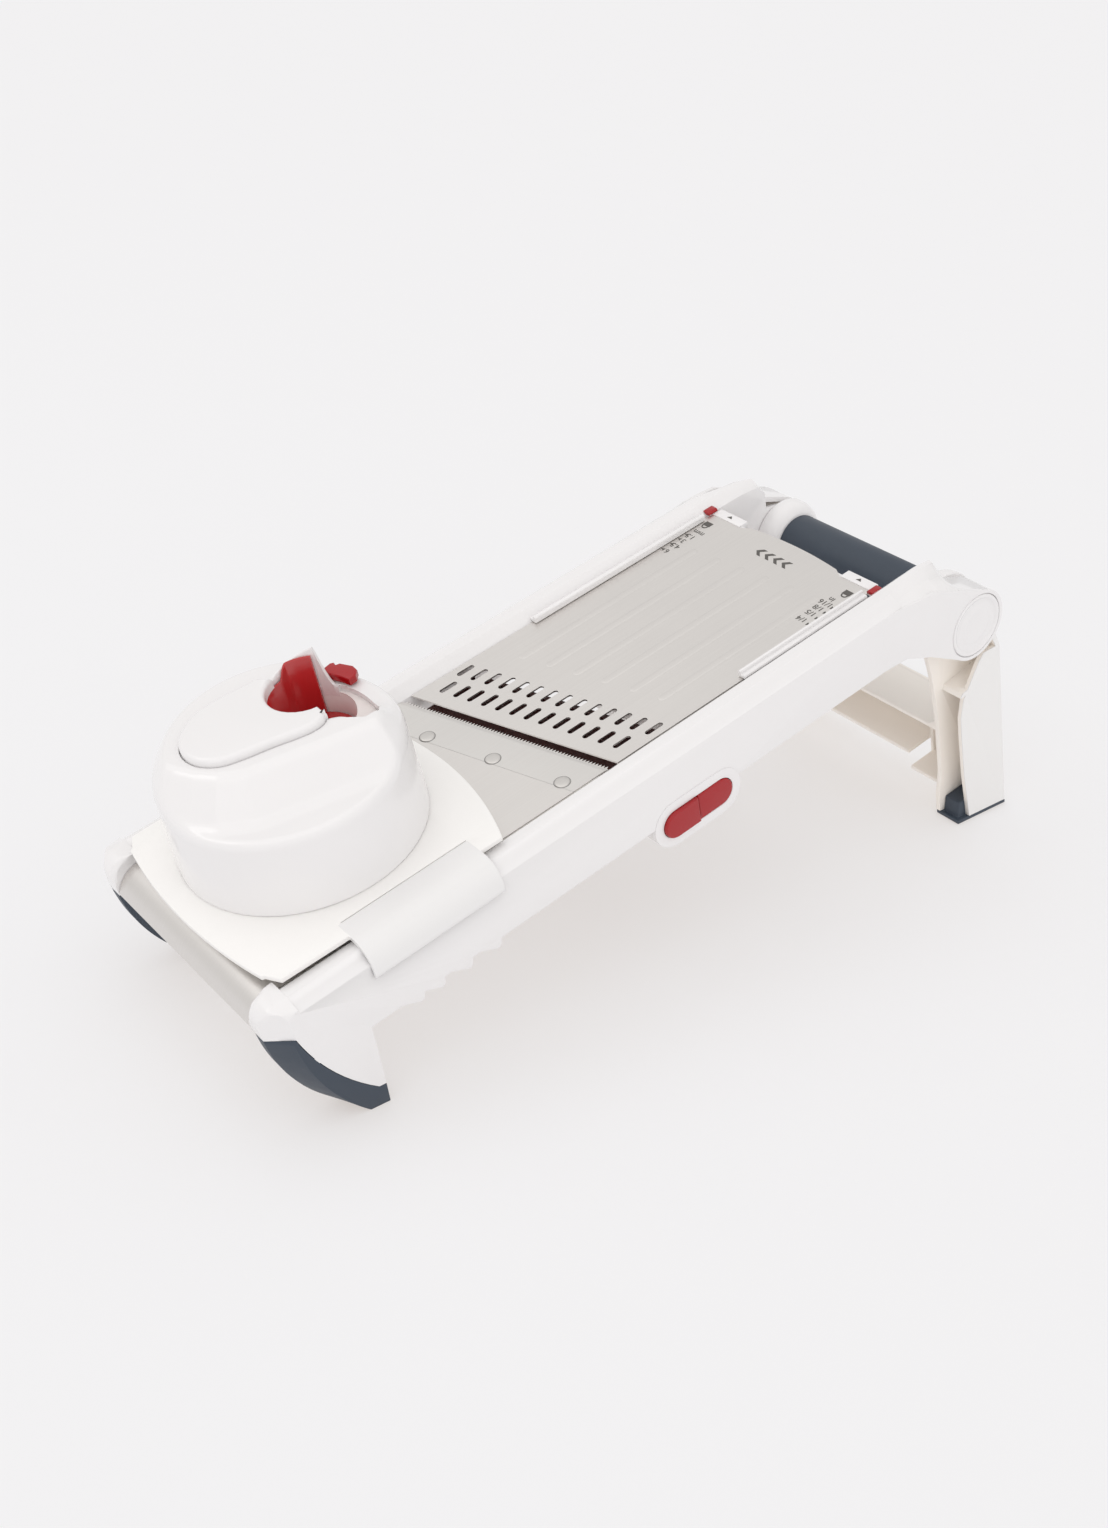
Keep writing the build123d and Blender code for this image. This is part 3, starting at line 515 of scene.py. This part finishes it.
def drum_shell():
    """The drum's outer skin, its rolled rim and its hollow inside."""
    spokes = 240
    top_rings = 66
    radii = [DRUM_RIM_R * (i / top_rings) ** 0.9 for i in range(1, top_rings + 1)]
    rings = []
    for r in radii:
        ring = []
        for i in range(spokes):
            turn = 2 * math.pi * i / spokes
            x, y = r * math.cos(turn), r * math.sin(turn)
            ring.append((x, y, drum_height(x, y)))
        rings.append(ring)
    rim = rings[-1]
    for part in (0.04, 0.1, 0.2, 0.35, 0.5, 0.65, 0.8, 0.9):
        rings.append([(x * (1 + 0.0215 * part), y * (1 + 0.0215 * part), w + (9.8 - w) * part)
                      for x, y, w in rim])
    foot = [(x / DRUM_RIM_R, y / DRUM_RIM_R) for x, y, w in rim]
    for r, w in ((52.5, 9.7), (52.6, 8.9), (50.0, 8.9), (49.6, 14.0), (48.6, 34.0), (47.0, 41.5)):
        rings.append([(r * x, r * y, w) for x, y in foot])
    # the inside follows the top surface, a wall's thickness below
    for r in (45.0, 42.0, 38.0, 34.0, 30.0, 25.0, 20.0, 14.0, 8.0, 3.0):
        rings.append([(r * x, r * y, min(drum_height(r * x, r * y), RIDGE) - 2.8) for x, y in foot])
    return ring_stack("holder_shield", rings, place=holder_point)


def valley_outline(wall):
    """Plan of the open side: the round notch and the scoop beside it, inside a wall that thick."""
    points = circle_arc(NOTCH, NOTCH_R + 1.8, 262, 62, 30)
    rim = circle_arc(Vector((0, 0)), 46.0 - wall, 24, -34, 16)
    outline = points + rim + [Vector((29.0, -24.6)), Vector((24.0, -19.0))]
    return outline[::-1]


def fin_point_height(angle):
    """Top edge of the thin fin that stands behind the finger notch."""
    if angle > 42:
        t = min(1.0, (angle - 42) / 70)
        return 68.0 - 8.5 * t
    t = min(1.0, (42 - angle) / 22)
    return 68.0 - 19.0 * (1 - (1 - t) ** 2.6)


def arc_wall(name, centre, inner, outer, start, end, bottom, top_of, steps=40):
    """Upright curved wall whose top edge follows top_of(angle)."""
    rings = []
    for i in range(steps + 1):
        angle = start + (end - start) * i / steps
        out = Vector((math.cos(math.radians(angle)), math.sin(math.radians(angle))))
        top = top_of(angle)
        section = ((inner, bottom), (outer, bottom), (outer - 0.1, top - 0.5), (outer - 0.5, top),
                   (inner + 0.5, top), (inner + 0.1, top - 0.5))
        rings.append([(*(centre + out * radius), w) for radius, w in section])
    return ring_stack(name, rings, place=holder_point)


CAP_PLAN = [(18.6, -9.5), (17.6, -13.6), (13.8, -15.7), (6.7, -15.4), (-5.8, -11.6), (-17.5, -8.6),
            (-26.5, -4.8), (-32.4, 3.0), (-33.2, 13.0), (-28.2, 22.0), (-18.0, 28.6), (-6.0, 30.0),
            (6.0, 28.6), (13.6, 25.6)]


def cap_outline(grow=0.0):
    sweep = circle_arc(NOTCH, NOTCH_R, 112, 258, 14)
    back = smooth_outline(CAP_PLAN, 6)[:-6]
    outline = [p.copy() for p in back] + sweep
    outline = outline[::-1]
    return inset(outline, -grow) if grow else outline


def make_holder():
    shell = drum_shell()
    cut(shell, rounded_slab("valley_tool", valley_outline(3.0), 40.0, TOOL_TOP, 0.01, place=holder_point))
    cut(shell, rounded_slab("pocket_tool", cap_outline(0.55), 57.9, TOOL_TOP, 0.01, place=holder_point))
    cut(shell, rounded_slab("stem_tool", cap_outline(-1.7), 40.0, TOOL_TOP, 0.01, place=holder_point))
    # room under the top for the prong plate when the plunger is lifted
    bore = full_circle(PRONG_PLATE, PRONG_BORE_R)
    cut(shell, rounded_slab("prong_bore", bore, 30.0, PRONG_BORE_TOP, 0.01, place=holder_point))
    bevel(shell, 0.7, 2, 50)
    apply_all(shell)
    finish_piece(shell, "holder", FINISHES["white_abs"], ["holder_drum"], 45)

    fin = arc_wall("holder_fin", NOTCH, NOTCH_R + 1.8, NOTCH_R + 3.6, 111, 20, 44.0, fin_point_height, 48)
    finish_piece(fin, "holder", FINISHES["white_abs"], ["holder_fin"], 45)

    # floor of the open side, in the drum, in white with painted recess shade
    floor = rounded_slab("holder_scoop", valley_outline(2.6), 43.6, 46.2, 0.6, place=holder_point)
    cut(floor, rounded_slab("cup_tool", full_circle(NOTCH, NOTCH_R + 2.0), 40, TOOL_TOP, 0.01,
                            place=holder_point))
    finish_piece(floor, "holder", WHITE_PAINTED_RECESS_SHADE, (), 45)

    liner = arc_wall("holder_notch_liner", NOTCH, NOTCH_R + 1.8, NOTCH_R + 3.2, 48, -99, 34.0,
                     lambda angle: 45.9, 50)
    # the liner takes the same painted recess shade
    finish_piece(liner, "holder", WHITE_PAINTED_RECESS_SHADE, (), 45)

    cap = rounded_slab("plunger_lid", cap_outline(), 58.2, CAP_TOP, 1.9, place=holder_point, steps=7)
    finish_piece(cap, "plunger", FINISHES["white_abs"], ["plunger_cap"], 50)

    def cup_top(angle):
        if angle > 96:
            return 58.1
        return 58.1 + 7.0 * math.sin(math.pi / 2 * min(1.0, (96 - angle) / 14))
    cup = arc_wall("plunger_cup", NOTCH, NOTCH_R, NOTCH_R + 1.5, 262, 46, 33.0, cup_top, 80)
    finish_piece(cup, "plunger", CUP_RED_PAINTED_SHEEN, ["plunger_body"], 45)
    base = rounded_slab("plunger_floor", full_circle(NOTCH, NOTCH_R + 1.4), 31.0, 36.0, 0.8,
                        place=holder_point)
    finish_piece(base, "plunger", CUP_RED_PAINTED_SHEEN, (), 45)
    stem_plan = inset(smooth_outline(CAP_PLAN, 4)[::-1], 2.4)
    stem = rounded_slab("plunger_stem", stem_plan, 30.4, 58.0, 0.8, place=holder_point)
    cut(stem, rounded_slab("bore_tool", full_circle(NOTCH, NOTCH_R + 1.0), 35.0, TOOL_TOP, 0.01,
                           place=holder_point))
    finish_piece(stem, "plunger", FINISHES["red_plastic"], (), 45)


def make_thumb_tab():
    """Red lug on the plunger's open side, resting over the drum's rim."""
    plan = [Vector(p) for p in ((37.8, 22.6), (39.4, 24.6), (43.0, 25.4), (44.6, 24.4), (44.2, 22.4),
                                (46.0, 21.8), (48.6, 16.0), (48.2, 12.4), (45.4, 9.4), (42.0, 9.2),
                                (41.2, 13.0))]
    tab = rounded_slab("plunger_thumb_tab", anticlockwise(plan), 50.4, 53.6, 0.9, place=holder_point)
    finish_piece(tab, "plunger", FINISHES["red_plastic"])


# ---------- steel deck details ----------
def print_text(words, u, v, size, body, name):
    bpy.ops.object.select_all(action="DESELECT")
    bpy.ops.object.text_add(location=(0, 0, 0))
    text = bpy.context.object
    text.name = name
    text.data.body = words
    text.data.size = size / 1000
    text.data.extrude = 0.00004
    text.data.align_x = "CENTER"
    text.data.align_y = "CENTER"
    bpy.ops.object.convert(target="MESH")
    text = bpy.context.object
    # the words run across the deck and read from the grip end
    turn = Matrix(((0, -1, 0), (1, 0, 0), (0, 0, 1)))
    slope = Matrix.Rotation(-DECK_SLOPE, 3, "Y")
    place = Matrix.Translation(deck_point(u, v, 0.05)) @ (slope @ turn).to_4x4()
    text.data.transform(place)
    text.matrix_world = Matrix.Identity(4)
    return finish_piece(text, body, INK, (), 20)


def flat_mark(name, points, height=0.09):
    """Thin printed shape on the runway."""
    outline = anticlockwise([Vector(p) for p in points])
    rings = [[(p.x, p.y, 0.01) for p in outline], [(p.x, p.y, height) for p in outline]]
    return ring_stack(name, rings)


def print_mark(name, points):
    finish_piece(flat_mark(name, points), "runway", INK, (), 20)


def make_scale():
    """Thickness figures in millimetres and inches, padlock signs and a row of chevrons."""
    size = 4.4
    for words, u in (("mm", 136.1), ("1.5", 131.4), ("3", 126.8), ("4.5", 121.7), ("6", 116.2)):
        v = 46.0 if words == "mm" else 46.6
        print_text(words, u, v, size, "runway", "scale_mm_" + words.replace(".", "_"))
    for words, u in (("in", 136.0), ("1/16", 132.3), ("1/8", 127.8), ("1/5", 123.0), ("1/4", 117.4)):
        print_text(words, u, -42.6, size, "runway", "scale_inch_" + words.replace("/", "_"))
    for row, u in enumerate((131.4, 126.8, 121.7, 116.2)):
        for side, tag in SIDES:
            v = 50.4 if side > 0 else -48.6
            base = v - side * 1.8
            print_mark(f"scale_arrow_{row}_{tag}", [(u, v), (u + 1.0, base), (u - 1.0, base)])
    for side, tag in SIDES:
        v = 47.6 if side > 0 else -45.0
        print_mark("padlock_case_" + tag, [(142.2, v - 2.2), (145.4, v - 2.2),
                                           (145.4, v + 2.2), (142.2, v + 2.2)])
        middle = Vector((142.0, v))
        bow = circle_arc(middle, 1.9, 90, 270, 9) + circle_arc(middle, 1.2, 270, 90, 9)
        print_mark("padlock_bow_" + tag, bow)
    for i in range(4):
        v = -9.0 + 5.6 * i
        print_mark(f"deck_chevron_{i}", [(140.0, v), (142.6, v + 2.6), (145.2, v), (145.2, v + 2.2),
                                         (142.6, v + 4.8), (140.0, v + 2.2)])


def make_ribs():
    """Shallow ribs pressed into the runway sheet."""
    for i in range(6):
        v = -36.0 + 14.4 * i
        start = Vector((30.0 - EDGE_LEAN * v, v))
        end = Vector((128.0 - 0.12 * v, v))
        outline = circle_arc(start, 2.0, 90, 270, 8) + circle_arc(end, 2.0, -90, 90, 8)
        rings = []
        for inward, w in ((0, 0.01), (0.45, 0.07), (0.9, 0.1), (1.7, 0.105)):
            rings.append([(p.x, p.y, w) for p in inset(outline, inward)])
        rib = ring_stack(f"runway_rib_{i}", rings)
        finish_piece(rib, "runway", FINISHES["steel"], (), 60)


def make_blade():
    """The ground strip of the blade, and fine saw teeth along its cutting edge."""
    section = ((-39.6, 0.0), (-23.4, 0.0), (-22.8, -0.02), (BLADE_EDGE_U, -0.52), (-20.7, -0.78),
               (-39.6, -0.78))
    rings = [[(u - EDGE_LEAN * v, v, w) for u, w in section] for v in (-PLATE_HALF, PLATE_HALF)]
    strip = ring_stack("blade_strip", rings)
    finish_piece(strip, "frame", FINISHES["blade_steel"], ["blade"], 5)
    pitch = 1.5
    depth = 1.5
    count = 70
    half = count * pitch / 2
    root_u = -22.4
    outline = []
    for i in range(count):
        v = -half + i * pitch
        edge = BLADE_EDGE_U - EDGE_LEAN * v
        outline += [Vector((edge, v)), Vector((edge + depth, v + pitch * 0.5))]
    outline.append(Vector((BLADE_EDGE_U - EDGE_LEAN * half, half)))
    outline += [Vector((root_u - EDGE_LEAN * half, half)), Vector((root_u + EDGE_LEAN * half, -half))]
    rings = [[(p.x, p.y, w) for p in outline] for w in (-1.16, -0.84)]
    teeth = ring_stack("blade_teeth", rings)
    finish_piece(teeth, "frame", FINISHES["blade_steel"], (), 20)


def make_tab_arrows():
    for side, tag in SIDES:
        v = side * 42.5
        outline = [(153.2, v - 1.6), (155.0, v), (153.2, v + 1.6)]
        rings = [[(u, y, 0.52) for u, y in outline], [(u, y, 0.6) for u, y in outline]]
        finish_piece(ring_stack("thumb_tab_arrow_" + tag, rings), "runway", INK, (), 20)


def make_hinge_dishes():
    """Round dished covers on the hinge, with a raised rim and a shallow middle."""
    middle = deck_point(HINGE_U, 0, HINGE_W)
    profile = ((15.6, 72.3), (15.6, 73.3), (15.2, 73.65), (14.6, 73.7), (13.9, 73.5), (13.3, 73.0),
               (12.2, 72.75), (9.6, 72.9), (8.4, 73.15), (7.4, 73.2), (6.2, 73.0), (3.0, 72.7),
               (0.4, 72.65))
    for side, tag in SIDES:
        rings = []
        for radius, reach in profile:
            ring = []
            for i in range(64):
                turn = 2 * math.pi * i / 64
                ring.append((middle.x + radius / 1000 * math.cos(turn), side * reach / 1000,
                             middle.z + radius / 1000 * math.sin(turn)))
            rings.append(ring)
        dish = ring_stack("hinge_dish_" + tag, rings, place=lambda x, y, z: Vector((x, y, z)))
        finish_piece(dish, "frame", FINISHES["white_abs"], ["hinge_cap_" + tag], 60)


def make_rivets():
    """Low domed rivet heads, each with a thin dark ring painted round it as the shade of a sunk groove."""
    for i, v in enumerate(RIVET_V):
        middle = Vector((RIVET_U - EDGE_LEAN * v, v))
        rings = []
        for radius, w in ((3.35, 0.03), (3.3, 0.22), (3.0, 0.36), (2.4, 0.44), (1.2, 0.5), (0.2, 0.5)):
            rings.append([(p.x, p.y, w) for p in circle_arc(middle, radius, 0, 352.5, 47)])
        head = ring_stack(f"rivet_head_{i}", rings)
        finish_piece(head, "frame", RIVET_STEEL, ["blade_rivets"] if i == 0 else (), 60)
        # painted shade: a flat dark ring where a sunk groove would be shaded
        rings = []
        for radius, w in ((3.75, 0.0), (3.75, 0.04), (3.4, 0.05), (3.38, 0.0)):
            rings.append([(p.x, p.y, w) for p in circle_arc(middle, radius, 0, 352.5, 47)])
        finish_piece(ring_stack(f"rivet_ring_{i}", rings), "frame", RIVET_GROOVE_SHADE, (), 60)


def make_flaps():
    """Springy flaps that carry the holder's plate over the rails in one smooth roll."""
    section = [(52.1, 8.64), (57.0, 8.68), (62.0, 8.62), (65.4, 8.2), (68.4, 7.0), (70.8, 5.0),
               (72.4, 2.4), (73.3, -0.6), (73.6, -3.4), (73.5, -5.0), (73.1, -5.5), (72.5, -5.5), (72.1, -5.0),
               (72.0, -2.6), (71.4, 0.4), (70.0, 3.0), (67.8, 5.0), (65.0, 6.2), (61.0, 6.5), (52.1, 6.5)]
    # places along the deck, with how much of the full section stands there: the ends are rounded
    stations = ((-138.9, 0.975), (-138.7, 0.99), (-138.2, 1.0), (-107.0, 1.0), (-77.0, 1.0),
                (-76.4, 0.99), (-76.2, 0.975))
    middle = Vector((64.0, 4.6))
    for side, tag in SIDES:
        rings = []
        for u, keep in stations:
            ring = []
            for across, w in section:
                point = middle + (Vector((across, w)) - middle) * keep
                ring.append((u, side * point.x, point.y))
            rings.append(ring)
        flap = ring_stack("holder_flap_" + tag, rings)
        finish_piece(flap, "holder", FLAP_WHITE, ["holder_wing_" + tag], 50)


def make_moulded_parts():
    for side in ("near", "far"):
        soften("rail_" + side, 0.9, 3, 24)
        soften("front_foot_" + side, 0.8)
        soften("guide_strip_" + side, 0.25, 2)
        soften("index_pointer_" + side, 0.2, 2)
        soften("grip_collar_" + side, 0.8, 3, 40)
        soften("rear_foot_" + side, 0.6)
    soften("holder_base", 0.5, 3, 40)
    soften("runway_carrier", 0.25, 2)
    soften("button_front", 0.5, 3, 50)
    soften("button_rear", 0.5, 3, 50)
    soften("grip_sleeve", 0.5, 2, 50)


def make_stand():
    for side in ("near", "far"):
        # the legs and cross member take the white with painted warm bounce light in the channels
        soften("stand_leg_" + side, 0.5, 2, 40, STAND_PAINTED_BOUNCE)
    soften("stand_cross_member", 0.5, 2, 40, STAND_PAINTED_BOUNCE)


# ---------- floor, light, camera ----------
def make_floor():
    """Plain pale table top that stays bright under the soft light."""
    bpy.ops.object.select_all(action="DESELECT")
    bpy.ops.mesh.primitive_plane_add(size=14.0, location=(0, 0, -0.0002))
    floor = bpy.context.object
    floor.name = "table_top"
    material = plastic("pale_table", (0.36, 0.41, 0.46), (0.355, 0.405, 0.455), 0.7)
    glow = material.node_tree.nodes["Principled BSDF"]
    glow.inputs["Emission Color"].default_value = (1.0, 0.896, 0.821, 1)
    glow.inputs["Emission Strength"].default_value = 0.53
    glow.inputs["Specular IOR Level"].default_value = 0.0
    floor.data.materials.append(material)


def area_light(name, place, target, size, power, colour):
    data = bpy.data.lights.new(name, "AREA")
    data.shape = "DISK"
    data.size = size
    data.energy = power
    data.color = colour
    light = bpy.data.objects.new(name, data)
    light.location = place
    light.rotation_euler = (Vector(target) - Vector(place)).to_track_quat("-Z", "Y").to_euler()
    bpy.context.scene.collection.objects.link(light)


def sun_light(name, direction, power, spread, colour):
    data = bpy.data.lights.new(name, "SUN")
    data.energy = power
    data.angle = math.radians(spread)
    data.color = colour
    sun = bpy.data.objects.new(name, data)
    sun.rotation_euler = Vector(direction).to_track_quat("-Z", "Y").to_euler()
    bpy.context.scene.collection.objects.link(sun)


def make_lights():
    sun_light("skylight", (0.5, -0.45, -1.6), 0.42, 70, (1.0, 0.985, 0.97))
    sun_light("room_fill", (0.35, 0.85, -0.3), 0.66, 110, (1.0, 0.99, 0.985))
    area_light("window_glow", (-0.9, 0.5, 1.1), (-0.05, 0, 0.1), 0.5, 0.7, (1.0, 0.995, 0.99))
    world = bpy.data.worlds.new("soft_room")
    world.use_nodes = True
    room = world.node_tree.nodes["Background"]
    room.inputs["Color"].default_value = (0.985, 0.975, 0.97, 1)
    room.inputs["Strength"].default_value = 0.8
    bpy.context.scene.world = world


def make_camera():
    """Above the near front corner, looking up the deck."""
    place = (-0.46228, -0.53550, 0.49235)
    data = bpy.data.cameras.new("camera")
    data.sensor_fit = "VERTICAL"
    data.sensor_height = 36.0
    data.lens = 42.84
    data.clip_start = 0.01
    camera = bpy.data.objects.new("camera", data)
    right = Vector((0.78427172, -0.61989043, 0.02556798))
    up = Vector((0.30457639, 0.42059201, 0.85459674))
    back = right.cross(up)
    turn = Matrix((right, up, back)).transposed()
    camera.matrix_world = Matrix.Translation(place) @ turn.to_4x4()
    bpy.context.scene.collection.objects.link(camera)
    bpy.context.scene.camera = camera


make_holder()
make_thumb_tab()
make_scale()
make_ribs()
make_blade()
make_tab_arrows()
make_hinge_dishes()
make_rivets()
make_flaps()
make_moulded_parts()
make_stand()
make_floor()
make_lights()
make_camera()
bpy.context.scene.view_settings.view_transform = "Standard"
